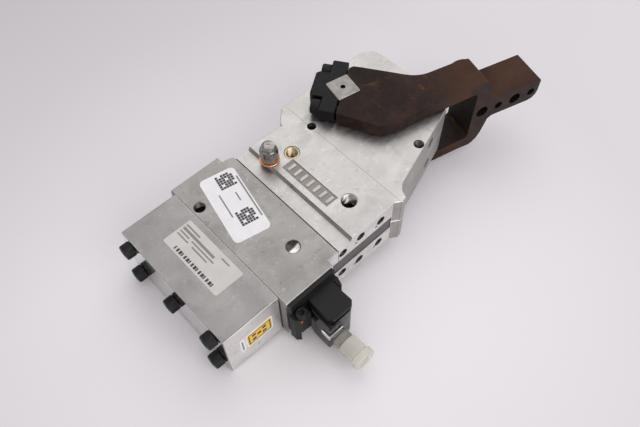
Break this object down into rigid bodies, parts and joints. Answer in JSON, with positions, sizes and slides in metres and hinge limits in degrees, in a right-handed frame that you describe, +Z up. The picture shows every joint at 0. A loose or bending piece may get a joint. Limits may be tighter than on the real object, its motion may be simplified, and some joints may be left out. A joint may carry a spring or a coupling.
{
  "type": "pneumatic power clamp",
  "caption": "Flat enclosed pneumatic toggle clamp: cylinder block, split lever housing, forked centre arm on a square shaft, side sensor cassette with round plug.",
  "frame": {"origin": "on the flat underside of the body, on the cylinder axis in plan, under the housing port", "axes": "+X from the cylinder towards the lever head, +Y towards the lever shaft side, +Z up out of the flat body"},
  "size_m": [0.3886, 0.2024, 0.0886],
  "materials": {
    "cast": "satin machined casting",
    "cast_dark": "polished extrusion",
    "black_oxide": "black oxide steel",
    "plastic": "matte black moulding",
    "smoke": "smoky translucent moulding",
    "cream": "milky translucent moulding",
    "rust": "browned forged steel with light rust",
    "steel": "ground steel",
    "nickel": "nickel plated",
    "copper": "bright copper",
    "brass": "machined brass",
    "rubber": "black nitrile rubber",
    "bronze": "sintered bronze"
  },
  "bodies": {
    "clamp_body": {"rear_cylinder_block": "cast_dark", "front_cylinder_block": "cast", "upper_housing_shell": "cast", "lower_housing_shell": "cast", "cylinder_screw_1": "black_oxide", "cylinder_screw_2": "black_oxide", "cylinder_screw_3": "black_oxide", "cylinder_screw_4": "black_oxide", "cylinder_screw_5": "black_oxide", "shell_screw_1": "black_oxide", "shell_screw_2": "black_oxide", "shell_screw_3": "black_oxide", "shell_screw_4": "black_oxide", "dowel_pin_1": "steel", "dowel_pin_2": "steel", "upper_shaft_bushing": "bronze", "lower_shaft_bushing": "bronze", "rod_bushing": "bronze", "rod_seal": "rubber", "rear_bumper": "rubber", "front_bumper": "rubber", "hex_port_plug": "nickel", "copper_washer": "copper", "port_insert": "brass", "sensor_strip": "plastic", "sensor_head": "plastic", "sensor_screw": "black_oxide", "sensor_cover": "smoke", "sensor_clip": "steel", "m12_connector": "plastic", "connector_cap": "cream"},
    "arm": {"crank_shaft": "steel", "crank_pin_upper": "steel", "crank_pin_lower": "steel", "fork_arm": "rust", "upper_clamp_cap": "black_oxide", "lower_clamp_cap": "black_oxide", "cap_screw_1": "black_oxide", "cap_screw_2": "black_oxide", "cap_screw_3": "black_oxide", "cap_screw_4": "black_oxide"},
    "rod": {"piston": "steel", "piston_seal": "rubber", "piston_rod": "steel", "rod_clevis": "steel", "clevis_pin": "steel"},
    "link": {"toggle_link": "steel"}
  },
  "joints": [
    {"name": "arm_hinge", "type": "hinge", "parent": "clamp_body", "child": "arm", "pos_m": [0.0701, 0.042, 0.0275], "axis": [0, 0, 1], "range_deg": [-13.3, 106.7]},
    {"name": "rod_slide", "type": "slide", "parent": "clamp_body", "child": "rod", "axis": [1, 0, 0], "range_m": [-0.008, 0.062]},
    {"name": "link_hinge", "type": "hinge", "parent": "rod", "child": "link", "pos_m": [0.0056, 0, 0.0275], "axis": [0, 0, 1], "range_deg": [-2, 11]}
  ],
  "couplings": [
    {"joint": "rod_slide", "follows": "arm_hinge", "m_per_rad": 0.0329},
    {"joint": "link_hinge", "follows": "arm_hinge", "ratio": 0.0984}
  ]
}
